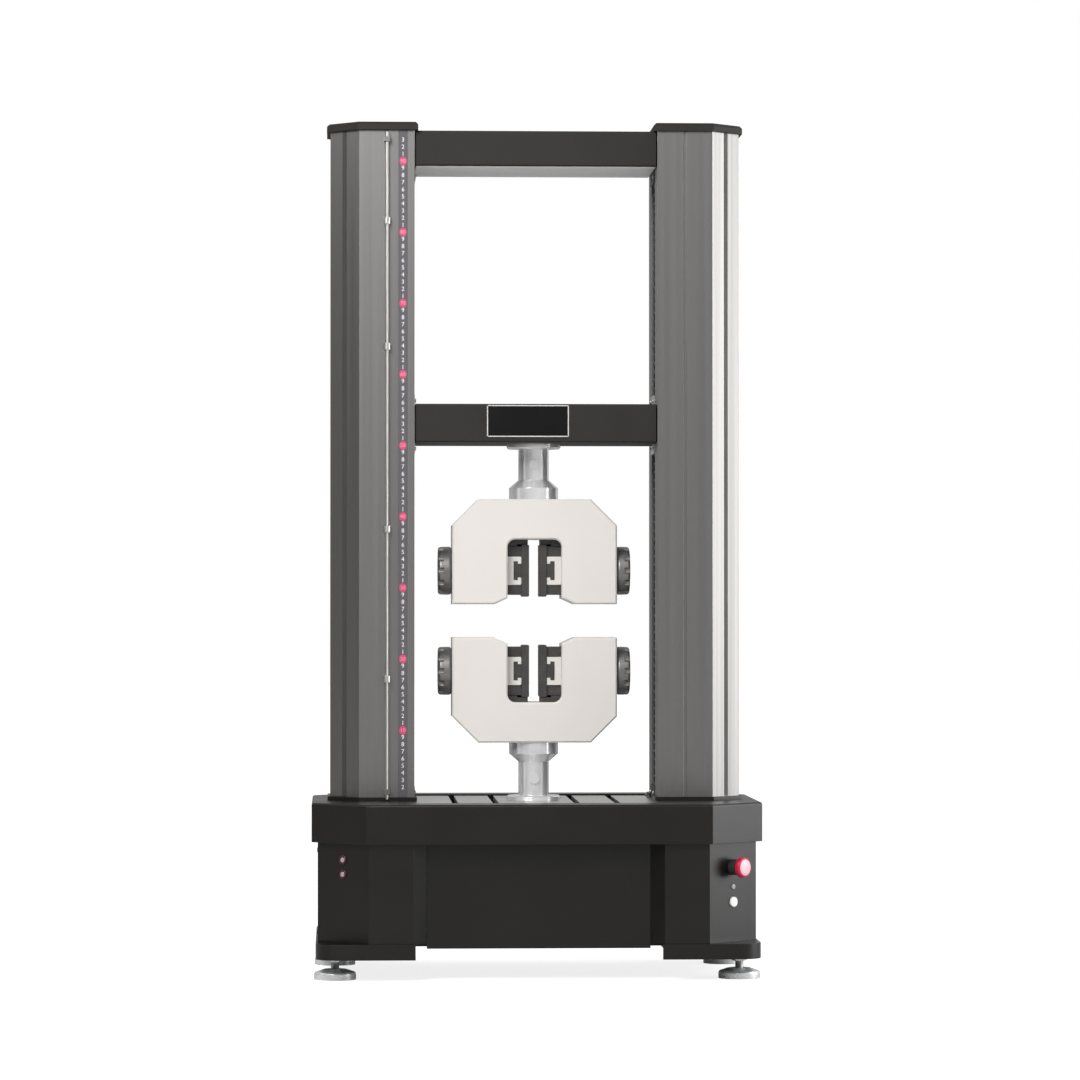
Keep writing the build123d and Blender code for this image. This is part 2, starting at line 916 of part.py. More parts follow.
# Handwheel: a notched knob turned in one piece with its clamp screw
def handwheel():
    inner = grip_half_width + seat_gap
    knob = Cylinder(wheel_radius, wheel_width, align=on_base)
    knob = fillet(knob.edges().filter_by(GeomType.CIRCLE), wheel_edge_round)
    for i in range(wheel_notch_count):
        angle = radians(360 * i / wheel_notch_count)
        reach = wheel_radius + wheel_notch_radius - wheel_notch_bite
        notch = Cylinder(wheel_notch_radius, wheel_notch_width, align=on_base)
        place = Pos(reach * cos(angle), reach * sin(angle), wheel_width - wheel_notch_width)
        knob -= place * notch
    knob -= Pos(0, 0, wheel_width - wheel_dish) * Cylinder(wheel_dish_radius, wheel_dish, align=on_base)
    screw_start = carrier_start() + carrier_reach - clamp_screw_reach
    screw = Pos(0, 0, screw_start - inner) * Cylinder(
        clamp_screw_radius, inner - screw_start, align=on_base
    )
    return Pos(inner, 0, -jaw_axis_drop) * (Rot(Y=90) * (knob + screw))


# Levelling feet, each a crowned pad, a stud and a lock nut
def at_feet(shape):
    places = [(x, y) for x in (-foot_x, foot_x) for y in (-foot_y, foot_y)]
    return Compound(children=[Pos(x, y, 0) * shape for x, y in places])


def foot_pad():
    profile = [
        (0, 0),
        (pad_radius, 0),
        (pad_radius, pad_rim),
        (pad_crown_radius, pad_height),
        (0, pad_height),
    ]
    pad = revolve(Plane.XZ * make_face(Polyline(*profile, close=True)), Axis.Z)
    rim = pad.edges().filter_by(GeomType.CIRCLE).filter_by(lambda edge: edge.radius > pad_crown_radius)
    pad = fillet(rim.sort_by(Axis.Z)[-1], pad_rim_round)
    return pad - rod(0, 0, pad_height - pad_socket_depth, pad_height, foot_stud_radius + fit_gap)


def foot_stud():
    return rod(0, 0, pad_height - pad_socket_depth, plinth_top - plinth_plate, foot_stud_radius)


def lock_nut():
    nut = extrude(
        Pos(0, 0, plinth_bottom - lock_nut_height) * RegularPolygon(lock_nut_radius, 6),
        amount=lock_nut_height,
    )
    return nut - rod(0, 0, 0, plinth_bottom, foot_stud_radius + fit_gap)


# Limit rod: a thin bar in two guides, with a fixed collar near each end
def rod_collar(z, bore):
    ring = rod(rod_x, rod_y, z - collar_height / 2, z + collar_height / 2, collar_radius)
    return ring - rod(rod_x, rod_y, z - collar_height / 2, z + collar_height / 2, bore)


def limit_rod():
    bottom = deck_top + rod_travel + seat_gap
    bar = rod(rod_x, rod_y, bottom, column_top - rod_travel - seat_gap, rod_radius)
    for z in (lower_end_collar_z, upper_end_collar_z):
        bar += rod(rod_x, rod_y, z - collar_height / 2, z + collar_height / 2, collar_radius)
    return bar


def rod_guides():
    guides = []
    space = rod_travel + rod_guide_height
    for z in (deck_top + space, column_top - space - rod_guide_height):
        guide = block(
            rod_x - rod_guide_side / 2, rod_x + rod_guide_side / 2,
            rod_y - rod_guide_side / 2, front_face,
            z, z + rod_guide_height,
        )
        guide -= rod(rod_x, rod_y, z, z + rod_guide_height, rod_radius + running_gap)
        guides.append(guide)
    return Compound(children=guides)


def scale_tape():
    edge = -column_inner - tape_edge_space
    return block(
        edge - tape_width, edge,
        front_face - tape_thick, front_face,
        deck_top + skirt_height + seat_gap, column_top,
    )


# Controls and lamps on the cut corners
def estop_base():
    ring = on_face(1, estop_z, 0, estop_base_height, estop_base_radius)
    block_face = face_plane(1, estop_z) * (
        Pos(0, 0, -sheet - contact_block_depth)
        * Box(contact_block_side, contact_block_side, contact_block_depth, align=on_base)
    )
    tube = on_face(1, estop_z, -sheet, sheet, estop_stem_radius)
    bore_depth = estop_stem_length + estop_travel + button_room
    bore = on_face(1, estop_z, -bore_depth, bore_depth + estop_base_height, estop_stem_radius / 2)
    return ring + tube + block_face - bore


def estop_button():
    start = estop_base_height + estop_travel + seat_gap
    head = Cylinder(estop_head_radius, estop_head, align=on_base)
    head = fillet(head.edges().group_by(Axis.Z)[-1], estop_head_round)
    stem_radius = estop_stem_radius / 2 - running_gap
    stem = Cylinder(stem_radius, start + estop_stem_length, align=on_base)
    return face_plane(1, estop_z) * (Pos(0, 0, start) * head + Pos(0, 0, -estop_stem_length) * stem)


def start_button():
    button = Cylinder(start_button_radius, start_button_proud + start_button_sunk, align=on_base)
    button = fillet(button.edges().group_by(Axis.Z)[-1], start_button_round)
    return face_plane(1, start_button_z) * (Pos(0, 0, -start_button_sunk) * button)


def lamp(side, z, radius):
    return on_face(side, z, -lamp_sunk, lamp_sunk + lamp_proud, radius)


def lamps():
    left = [lamp(-1, left_lamp_z - i * left_lamp_pitch, left_lamp_radius) for i in range(2)]
    return Compound(children=left + [lamp(1, run_lamp_z, run_lamp_radius)])


# Everything is written out here, one file for each node
os.makedirs("parts", exist_ok=True)

save("base_frame", base_frame())
save("table_plate", table_plate())
save("deck_cover", deck_cover())
save("left_pedestal_cover", pedestal_cover(-1))
save("right_pedestal_cover", pedestal_cover(1))
save("front_panel", centre_panel())
save("rear_panel", rear_panel())
save("power_inlet", power_inlet())
save("foot_pads", at_feet(foot_pad()))
save("foot_studs", at_feet(foot_stud()))
save("foot_lock_nuts", at_feet(lock_nut()))
save("servo_motor", servo_motor())
save("motor_pulley", motor_pulley())
save("drive_belt", drive_belt())
save("drive_controller", drive_controller())
save("screw_bearings", screw_bearings())
save("guide_posts", pair(guide_post()))
save("column_caps", pair(column_cap()))
save("top_beam", top_beam())
save("crosshead", crosshead())
save("ball_nuts", pair(ball_nut()))
save("guide_bushes", pair(guide_bush()))
save("load_cell", load_cell())

screw = ball_screw()
front = front_cover()
rear = rear_cover()
for side_name, place in (("left", mirrored), ("right", lambda shape: shape)):
    save(side_name + "_ball_screw", place(screw))
    save(side_name + "_front_cover", place(front))
    save(side_name + "_rear_cover", place(rear))

upper_clamp_bottom = beam_bottom - fixed_clamp_height
moving_clamp_top = crosshead_top + moving_clamp_height
lower_clamp_bottom = crosshead_bottom - moving_clamp_height
fixed_clamp_top = deck_top + fixed_clamp_height
save("upper_bellows", pair(bellows(moving_clamp_top, upper_clamp_bottom)))
save("lower_bellows", pair(bellows(fixed_clamp_top, lower_clamp_bottom)))
fixed_clamps = [slot_clamp(z, fixed_clamp_height) for z in (deck_top, upper_clamp_bottom)]
moving_clamps = [slot_clamp(z, moving_clamp_height) for z in (lower_clamp_bottom, crosshead_top)]
save("fixed_clamps", pair(Compound(children=fixed_clamps)))
save("moving_clamps", pair(Compound(children=moving_clamps)))

# The upper load string hangs from the crosshead, and the lower one stands on the table
hang = Pos(0, 0, crosshead_bottom) * Rot(X=180)
stand = Pos(0, 0, table_top)
save("upper_adapter", hang * adapter(upper_string))
upper_pin_shift = crosshead_bottom - 2 * pin_height(upper_string)
save("upper_coupling_pin", Pos(0, 0, upper_pin_shift) * coupling_pin(upper_string))
save("lower_adapter", stand * adapter(lower_string))
save("lower_coupling_pin", stand * coupling_pin(lower_string))


def as_upper(shape):
    return Pos(0, 0, upper_grip_top) * shape


def as_lower(shape):
    return Pos(0, 0, lower_grip_bottom) * mirror(shape, about=Plane.XY)


casting = grip_body()
insert = jaw_insert()
carrier = jaw_carrier()
wheel = handwheel()
for level, put in (("upper", as_upper), ("lower", as_lower)):
    save(level + "_grip_body", put(casting))
    for side_name, place in (("left", mirrored), ("right", lambda shape: shape)):
        save(level + "_" + side_name + "_jaw_insert", put(place(insert)))
        save(level + "_" + side_name + "_jaw_carrier", put(place(carrier)))
        save(level + "_" + side_name + "_handwheel", put(place(wheel)))

save("limit_rod", limit_rod())
save("rod_guides", rod_guides())
save("upper_stop", rod_collar(upper_stop_z, rod_radius + running_gap))
save("lower_stop", rod_collar(lower_stop_z, rod_radius + running_gap))
save("scale_tape", scale_tape())
save("estop_base", estop_base())
save("estop_button", estop_button())
save("start_button", start_button())
save("lamps", lamps())
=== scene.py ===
import math

import bmesh
import bpy
from mathutils import Matrix, Vector


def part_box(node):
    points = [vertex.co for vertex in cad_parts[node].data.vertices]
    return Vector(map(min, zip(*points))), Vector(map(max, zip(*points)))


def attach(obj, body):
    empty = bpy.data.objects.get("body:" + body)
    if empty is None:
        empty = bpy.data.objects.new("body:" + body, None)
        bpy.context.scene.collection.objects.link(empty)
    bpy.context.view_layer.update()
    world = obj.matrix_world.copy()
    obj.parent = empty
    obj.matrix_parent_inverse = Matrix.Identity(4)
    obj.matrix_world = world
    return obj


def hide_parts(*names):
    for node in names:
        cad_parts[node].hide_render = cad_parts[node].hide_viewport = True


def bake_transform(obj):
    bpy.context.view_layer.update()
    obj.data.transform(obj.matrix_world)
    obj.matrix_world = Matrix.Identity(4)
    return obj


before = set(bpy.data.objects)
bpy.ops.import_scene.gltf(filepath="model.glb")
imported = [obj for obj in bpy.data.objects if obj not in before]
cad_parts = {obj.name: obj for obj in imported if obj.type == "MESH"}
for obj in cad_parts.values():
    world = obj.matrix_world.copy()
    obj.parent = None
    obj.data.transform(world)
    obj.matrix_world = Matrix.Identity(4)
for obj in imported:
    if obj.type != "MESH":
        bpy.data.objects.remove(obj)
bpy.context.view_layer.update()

# Base frame
# The welded frame inside the base: plinths, floor plate, corner posts and the bridge plate.
# Mild steel, powder coated in fine-textured charcoal after welding.


def put_node(tree, kind, inputs):
    """Adds a node whose inputs are set to values, or linked where a socket is given."""
    node = tree.nodes.new(kind)
    for label, value in inputs.items():
        if isinstance(value, bpy.types.NodeSocket):
            tree.links.new(value, node.inputs[label])
        else:
            node.inputs[label].default_value = value
    return node


def finish(
    name, color, shade, rough, smooth, patch=7, grain=900, bump=0.1,
    metallic=0, stretch=(1, 1, 1), shine=0.5,
):
    """A finish whose colour drifts from color to shade and whose gloss drifts from rough to smooth."""
    drift_start, drift_end, patch_detail, grain_detail = 0.35, 0.65, 6, 3
    relief_height, edge_radius, edge_samples = 0.0005, 0.0012, 4
    material = bpy.data.materials.new(name)
    material.use_nodes = True
    tree = material.node_tree
    surface = tree.nodes["Principled BSDF"]
    surface.inputs["Metallic"].default_value = metallic
    surface.inputs["Specular IOR Level"].default_value = shine
    place = put_node(tree, "ShaderNodeTexCoord", {})
    lay = put_node(tree, "ShaderNodeMapping", {"Vector": place.outputs["Object"], "Scale": stretch})
    drift = put_node(
        tree, "ShaderNodeTexNoise",
        {"Vector": lay.outputs["Vector"], "Scale": patch, "Detail": patch_detail},
    )
    tint = put_node(tree, "ShaderNodeValToRGB", {"Fac": drift.outputs["Fac"]})
    stops = zip(tint.color_ramp.elements, (drift_start, drift_end), (color, shade))
    for stop, position, tone in stops:
        stop.position = position
        stop.color = (*tone, 1)
    tree.links.new(tint.outputs["Color"], surface.inputs["Base Color"])
    gloss = put_node(
        tree, "ShaderNodeMapRange",
        {
            "Value": drift.outputs["Fac"], "From Min": drift_start, "From Max": drift_end,
            "To Min": rough, "To Max": smooth,
        },
    )
    tree.links.new(gloss.outputs["Result"], surface.inputs["Roughness"])
    fine = put_node(
        tree, "ShaderNodeTexNoise",
        {"Vector": lay.outputs["Vector"], "Scale": grain, "Detail": grain_detail},
    )
    edge = put_node(tree, "ShaderNodeBevel", {"Radius": edge_radius})
    edge.samples = edge_samples
    relief = put_node(
        tree, "ShaderNodeBump",
        {
            "Height": fine.outputs["Fac"], "Normal": edge.outputs["Normal"],
            "Strength": bump, "Distance": relief_height,
        },
    )
    tree.links.new(relief.outputs["Normal"], surface.inputs["Normal"])
    return material


def dress(material, *names):
    """Gives CAD nodes their finish."""
    for name in names:
        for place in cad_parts[name].material_slots:
            place.material = material


charcoal = finish(
    "charcoal_powder_coat", (0.006, 0.0048, 0.004), (0.0048, 0.0038, 0.0032), 0.34, 0.3,
    bump=0.25, shine=0.42,
)
dress(charcoal, "base_frame")

# Levelling feet
# Crowned pads on threaded studs, with a lock nut under the plinth.
# Turned steel, bright plated; the studs keep a rolled thread.


def ridged(name, color, rough, pitch, depth, axis=2, metallic=1):
    """A finish with ridges of one pitch along an axis, such as a thread or belt teeth."""
    darker, rougher, ridge_strength = 0.9, 0.06, 0.6
    shade = tuple(darker * part for part in color)
    material = finish(name, color, shade, rough, rough + rougher, metallic=metallic)
    tree = material.node_tree
    place = tree.nodes["Texture Coordinate"]
    split = put_node(tree, "ShaderNodeSeparateXYZ", {"Vector": place.outputs["Object"]})
    wave = put_node(tree, "ShaderNodeMath", {0: split.outputs[axis], 1: pitch / 2})
    wave.operation = "PINGPONG"
    rise = put_node(tree, "ShaderNodeMath", {0: wave.outputs["Value"], 1: 2 / pitch})
    rise.operation = "MULTIPLY"
    relief = tree.nodes["Bump"]
    tree.links.new(rise.outputs["Value"], relief.inputs["Height"])
    relief.inputs["Strength"].default_value = ridge_strength
    relief.inputs["Distance"].default_value = depth
    return material


foot_plate = finish(
    "foot_plating", (0.9, 0.91, 0.92), (0.82, 0.83, 0.84), 0.24, 0.32,
    patch=30, grain=700, bump=0.04, metallic=0.5,
)
thread = ridged("rolled_thread", (0.5, 0.49, 0.48), rough=0.28, pitch=0.002, depth=0.0007)
dress(foot_plate, "foot_pads", "foot_lock_nuts")
dress(thread, "foot_studs")

# Table
# A steel slab with T-slots from front to back, bolted down on the bridge plate.
# Its top is ground across the slots and lightly oiled.

ground = finish(
    "ground_steel", (0.72, 0.715, 0.7), (0.6, 0.595, 0.58), 0.36, 0.26,
    patch=14, grain=420, bump=0.12, metallic=1, stretch=(0.03, 1, 1),
)
dress(ground, "table_plate")

# Deck and pedestal covers
# The apron round the table, a bent sheet round each end, and panels set back in the middle.
# Folded steel sheet in the same charcoal coat as the frame.

dress(
    charcoal,
    "deck_cover", "left_pedestal_cover", "right_pedestal_cover", "front_panel", "rear_panel",
)

# Drive inside the base
# A servo motor turns both screws through a toothed belt; the drive electronics stand beside it.
# Black-painted motor and case, steel pulleys and a moulded rubber belt.

satin_black = finish("satin_black", (0.035, 0.035, 0.037), (0.025, 0.025, 0.027), 0.42, 0.5)
turned = finish(
    "turned_steel", (0.55, 0.54, 0.53), (0.46, 0.455, 0.45), 0.28, 0.36,
    patch=30, grain=600, bump=0.06, metallic=1,
)
rubber = ridged(
    "toothed_rubber", (0.03, 0.03, 0.03), rough=0.6, pitch=0.008, depth=0.001, axis=0, metallic=0
)
dress(satin_black, "servo_motor", "drive_controller")
dress(turned, "motor_pulley")
dress(rubber, "drive_belt")

# Ball screws and guide posts
# A ball screw and a round post stand in each column; their nuts and bushes carry the crosshead.
# Hardened steel: the screws have a rolled ball track, and the posts are hard chrome.

track = ridged("ball_track", (0.55, 0.54, 0.53), rough=0.25, pitch=0.01, depth=0.0015)
chrome = finish(
    "chrome_plate", (0.86, 0.86, 0.87), (0.8, 0.8, 0.81), 0.1, 0.18, bump=0.02, metallic=1
)
dress(track, "left_ball_screw", "right_ball_screw")
dress(chrome, "guide_posts")
dress(turned, "screw_bearings", "guide_bushes", "ball_nuts")

# Column covers and caps
# Two extrusions meet down the cut front corner of each column, under a bevelled cap.
# Aluminium in a satin grey coat with fine die lines along it; the caps are charcoal.

anodised = finish(
    "anodised_extrusion", (0.26, 0.253, 0.247), (0.235, 0.228, 0.222), 0.34, 0.42,
    patch=90, grain=900, bump=0.05, metallic=1, stretch=(1, 1, 0.006),
)
beam_coat = finish(
    "beam_powder_coat", (0.021, 0.018, 0.0165), (0.017, 0.0145, 0.013), 0.62, 0.56,
    bump=0.25, shine=0.3,
)
dress(anodised, "left_front_cover", "right_front_cover", "left_rear_cover", "right_rear_cover")
dress(beam_coat, "column_caps")

# Column seals
# A rubber strip closes the joint between the two covers, down each cut corner.
# Extruded black rubber, pressed into the joint and standing a little proud.

sides = (("left", -1), ("right", 1))


def solid_piece(name, form, material, body=None, smooth=False):
    """Turns form into a piece of the scene in one finish, riding on a body where one is given."""
    mesh = bpy.data.meshes.new(name)
    form.to_mesh(mesh)
    form.free()
    mesh.materials.append(material)
    if smooth:
        for face in mesh.polygons:
            face.use_smooth = True
    piece = bpy.data.objects.new(name, mesh)
    bpy.context.collection.objects.link(piece)
    if body:
        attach(piece, body)
    return piece


def bevelled_block(form, low, high, bevel):
    """Adds a block between two corners, with its edges broken."""
    middle = [(a + b) / 2 for a, b in zip(low, high)]
    size = [b - a for a, b in zip(low, high)]
    place = Matrix.Translation(middle) @ Matrix.Diagonal((*size, 1))
    made = bmesh.ops.create_cube(form, size=1, matrix=place)
    edges = {edge for vert in made["verts"] for edge in vert.link_edges}
    bmesh.ops.bevel(form, geom=list(edges), offset=bevel, segments=2, affect="EDGES", profile=0.5)


seal_rubber = finish(
    "seal_rubber", (0.045, 0.043, 0.042), (0.035, 0.033, 0.032), 0.5, 0.58, grain=1500, bump=0.2
)
seal_half_width, seal_root, seal_proud, seal_lift, fine_edge = 0.0052, 0.0006, 0.001, 0.001, 0.0003
half_seam = 0.0006
skirt_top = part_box("deck_cover")[1][2]
for side_name, side in sides:
    cover_low, cover_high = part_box(f"{side_name}_front_cover")
    joint_x = max(abs(cover_low[0]), abs(cover_high[0])) + half_seam
    joint_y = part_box(f"{side_name}_rear_cover")[0][1] - half_seam
    form = bmesh.new()
    bevelled_block(
        form,
        (-seal_half_width, -seal_root, skirt_top + seal_lift),
        (seal_half_width, seal_proud, cover_high[2]),
        fine_edge,
    )
    corner_turn = Matrix.Rotation(side * math.radians(45), 4, "Z")
    form.transform(Matrix.Translation((side * joint_x, joint_y, 0)) @ corner_turn)
    solid_piece(f"{side_name}_column_seal", form, seal_rubber, "machine_frame")

# Beams
# The fixed top beam ties the columns together, and the crosshead travels below it.
# Machined blocks in a rougher charcoal coat, with a turned load cell let into the crosshead.

dress(beam_coat, "top_beam", "crosshead")
dress(turned, "load_cell")

# Beam cover sheet
# A pale sheet closes the underside of the top beam.
# Steel sheet, in a glossy pale enamel.


def block_piece(name, blocks, bevel, material, body):
    """A piece made of bevelled blocks, each given by two corners."""
    form = bmesh.new()
    for low, high in blocks:
        bevelled_block(form, low, high, bevel)
    return solid_piece(name, form, material, body)


pale_coat = finish(
    "pale_coat", (0.95, 0.945, 0.94), (0.92, 0.915, 0.91), 0.3, 0.36, shine=0.9
)
sheet_x, sheet_y, sheet_below, sheet_above = 0.2375, 0.109, 0.001, 0.0005
beam_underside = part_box("top_beam")[0][2]
block_piece(
    "beam_cover_sheet",
    [(
        (-sheet_x, -sheet_y, beam_underside - sheet_below),
        (sheet_x, sheet_y, beam_underside + sheet_above),
    )],
    fine_edge, pale_coat, "machine_frame",
)

# Bellows
# A folded skin closes each column slot above and below the crosshead.
# Coated fabric, creased over stays and clamped at both ends.


def bellows_form(side, bottom, top):
    """A folded skin in the slot of one column, from bottom to top."""
    inner, depth, half_width, pitch, sharpness = 0.2425, 0.0092, 0.0455, 0.017, 0.8
    stations, hem_start, hem_lift, steps = (-1, -0.94, -0.9, 0, 0.9, 0.94, 1), 0.93, 0.0007, 8
    rises = round((top - bottom) / pitch) * steps
    form = bmesh.new()
    rows = []
    for i in range(rises + 1):
        crease = (0.5 - 0.5 * math.cos(2 * math.pi * i / steps)) ** sharpness
        z = bottom + (top - bottom) * i / rises
        row = []
        for station in stations:
            hem = hem_lift if abs(station) > hem_start else 0
            x = side * (inner + hem + crease * (depth - 2 * hem))
            row.append(form.verts.new((x, station * half_width, z)))
        rows.append(row)
    for low, high in zip(rows, rows[1:]):
        for a, b, c, d in zip(low, low[1:], high[1:], high):
            form.faces.new((a, b, c, d) if side < 0 else (d, c, b, a))
    return form


coated_cloth = finish(
    "coated_cloth", (0.055, 0.054, 0.053), (0.04, 0.039, 0.038), 0.62, 0.52, grain=1600, bump=0.3
)
cloth_wall, slot_x = 0.0008, 0.247
levels = ("upper", "lower")
for level in levels:
    low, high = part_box(f"{level}_bellows")
    bottom, top = low[2], high[2]
    for side_name, side in sides:
        form = bellows_form(side, bottom, top)
        skin = solid_piece(
            f"{level}_{side_name}_skin", form, coated_cloth, smooth=True
        )
        wall = skin.modifiers.new("wall", "SOLIDIFY")
        wall.thickness = cloth_wall
        wall.offset = 0
        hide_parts(f"{level}_bellows")
        x = side * slot_x
        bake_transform(skin)

# Bellows clamps
# Small bars that hold the ends of each skin: black on the frame, bright on the crosshead.
# Moulded plastic and plated steel, screwed through the skin.

black_plastic = finish("black_plastic", (0.03, 0.03, 0.03), (0.022, 0.022, 0.022), 0.45, 0.55, bump=0.15)
plated = finish(
    "plated_steel", (0.66, 0.65, 0.64), (0.58, 0.57, 0.56), 0.3, 0.38, bump=0.05, metallic=1
)
dress(black_plastic, "fixed_clamps")
dress(plated, "moving_clamps")

# Load string
# Turned adapters with a flange, a cone and a collar, each crossed by a coupling pin.
# Satin-chromed steel, screwed into the load cell and the table.

satin_chrome = finish(
    "satin_chrome", (0.97, 0.97, 0.98), (0.93, 0.93, 0.94), 0.2, 0.15,
    patch=30, grain=700, bump=0.04, metallic=0.65,
)
dress(satin_chrome, "upper_adapter", "lower_adapter", "upper_coupling_pin", "lower_coupling_pin")

# Vise grips
# Forked castings whose pockets guide the jaw carriers.
# Cast iron, filled, ground and enamelled in cream.

cream = finish(
    "cream_enamel", (0.74, 0.705, 0.67), (0.71, 0.675, 0.64), 0.33, 0.4,
    patch=5, grain=260, bump=0.03,
)
dress(cream, "upper_grip_body", "lower_grip_body")

# Jaws
# A serrated insert hangs by its T-shaped tail in a C-shaped carrier.
# The inserts are blackened tool steel, and the carriers are enamelled like the casting.

blackened = finish(
    "blackened_steel", (0.085, 0.08, 0.075), (0.065, 0.06, 0.057), 0.42, 0.5,
    patch=40, grain=500, metallic=0.6,
)
for level in levels:
    for side_name, side in sides:
        dress(blackened, f"{level}_{side_name}_jaw_insert")
        dress(cream, f"{level}_{side_name}_jaw_carrier")

# Jaw corner shade
# A stepped dark bar in each corner of the mouth, with a thin dark sheet behind it:
# painted shade for the shadowed corners of the mouth, in blackened steel, carried with the casting.

bar_inner, bar_step, bar_inset = 0.0125, 0.0338, 0.002
above_insert, above_ribs, to_ceiling = 0.0006, -0.003, 0.0102
mouth_x, mouth_round, arc_start, arc_step, arc_points = 0.038, 0.0156, 12, 13, 7
shade_sheet_inset, shade_sheet_foot, shade_sheet_gap, shade_sheet_thick = 0.005, -0.009, 0.0006, 0.002
shade_sheet_inner = bar_inner + shade_sheet_inset
corner = []
for i in range(arc_points):
    angle = math.radians(arc_start + arc_step * i)
    corner.append((
        mouth_x + mouth_round * math.cos(angle), to_ceiling - mouth_round * (1 - math.sin(angle)),
    ))
bar_outer = corner[0][0]
corner[0] = (bar_outer, above_ribs)
bar_outline = [
    (bar_inner, above_insert), (bar_step, above_insert), (bar_step, above_ribs),
    *corner, (bar_inner, to_ceiling),
]
shade_sheet_outline = [
    (shade_sheet_inner, shade_sheet_foot), (bar_outer, shade_sheet_foot), *corner, (shade_sheet_inner, to_ceiling),
]
for level, up, body in (("upper", 1, "crosshead"), ("lower", -1, "machine_frame")):
    for side_name, side in sides:
        low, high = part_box(f"{level}_{side_name}_jaw_insert")
        tip = high[2] if up > 0 else low[2]
        shade_sheet_front = high[1] + shade_sheet_gap
        form = bmesh.new()
        for outline, front_y, back_y in (
            (bar_outline, low[1] + bar_inset, shade_sheet_front),
            (shade_sheet_outline, shade_sheet_front, shade_sheet_front + shade_sheet_thick),
        ):
            front = [form.verts.new((side * x, front_y, tip + up * z)) for x, z in outline]
            back = [form.verts.new((side * x, back_y, tip + up * z)) for x, z in outline]
            form.faces.new(front)
            form.faces.new(reversed(back))
            for i in range(len(outline)):
                j = (i + 1) % len(outline)
                form.faces.new((front[i], back[i], back[j], front[j]))
        bmesh.ops.recalc_face_normals(form, faces=form.faces)
        # Each bar and the sheet behind it is painted shade for a shadowed corner of the mouth.
        solid_piece(f"{level}_{side_name}_painted_shade_bar", form, blackened, body)

# Handwheels
# A notched knob on each clamp screw, to open and close the jaws.
# Turned steel, blackened and oiled.

oiled_black = finish(
    "oiled_black", (0.24, 0.235, 0.23), (0.2, 0.195, 0.19), 0.34, 0.42,
    patch=30, grain=500, metallic=0.7,
)
for level in levels:
    for side_name, side in sides:
        dress(oiled_black, f"{level}_{side_name}_handwheel")

# Limit rod
# A thin bar beside the scale, with two fixed collars and two stops that slide along it.
# Bright plated steel, in guides of the same finish as the column.

dress(plated, "limit_rod", "upper_stop", "lower_stop")
dress(anodised, "rod_guides")

# Scale tape
# A printed strip beside the rod shows where the crosshead stands.
# Dark film with white figures, and a red patch round each tenth one.

film = finish("scale_film", (0.1, 0.095, 0.105), (0.09, 0.085, 0.095), 0.4, 0.45, bump=0.02)
white_ink = finish("white_ink", (0.84, 0.82, 0.84), (0.8, 0.78, 0.8), 0.5, 0.55, bump=0.02)
red_ink = finish("red_ink", (0.6, 0.062, 0.17), (0.56, 0.055, 0.155), 0.5, 0.55, bump=0.02)
pink_ink = finish("pink_ink", (0.84, 0.3, 0.43), (0.8, 0.27, 0.4), 0.5, 0.55, bump=0.02)
dress(film, "scale_tape")


def add_figure(form, words, size, place):
    """Adds a flat printed figure to form, facing the front."""
    curve = bpy.data.curves.new("figure", "FONT")
    curve.body = words
    curve.size = size
    curve.align_x = "CENTER"
    curve.align_y = "CENTER"
    curve.resolution_u = 3
    flat = bpy.data.objects.new("figure", curve)
    bpy.context.collection.objects.link(flat)
    view = bpy.context.evaluated_depsgraph_get()
    mesh = bpy.data.meshes.new_from_object(flat.evaluated_get(view))
    mesh.transform(Matrix.Translation(place) @ Matrix.Rotation(math.pi / 2, 4, "X"))
    form.from_mesh(mesh)
    bpy.data.objects.remove(flat)
    bpy.data.curves.remove(curve)
    bpy.data.meshes.remove(mesh)


first_tenth_z, tenth_step, marks_below, marks_above = 0.484, 0.1403, 9, 83
small_size, tenth_size, end_margin, ink_lift = 0.012, 0.0105, 0.006, 0.0001
patch_x, patch_z, patch_points = 0.0074, 0.0086, 24
tape_low, tape_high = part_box("scale_tape")
tape_x = (tape_low[0] + tape_high[0]) / 2
tape_face = tape_low[1] - ink_lift
small_figures, red_figures, red_patches = bmesh.new(), bmesh.new(), bmesh.new()
for i in range(-marks_below, marks_above + 1):
    z = first_tenth_z + i * tenth_step / 10
    if not tape_low[2] + end_margin < z < tape_high[2] - end_margin:
        continue
    if i % 10:
        add_figure(small_figures, str(i % 10), small_size, (tape_x, tape_face, z))
        continue
    add_figure(red_figures, str(i + 10), tenth_size, (tape_x, tape_face - ink_lift, z))
    ring = []
    for k in range(patch_points):
        angle = math.radians(360 / patch_points * k)
        ring.append(red_patches.verts.new((
            tape_x + patch_x * math.cos(angle), tape_face, z + patch_z * math.sin(angle),
        )))
    red_patches.faces.new(ring)
solid_piece("small_figures", small_figures, white_ink, "machine_frame")
solid_piece("red_patches", red_patches, red_ink, "machine_frame")
solid_piece("red_figures", red_figures, pink_ink, "machine_frame")

# Crosshead plate
# A bare black plate in a bright frame, on the front of the crosshead.
# Anodised sheet, bonded on, with the frame standing a little proud.

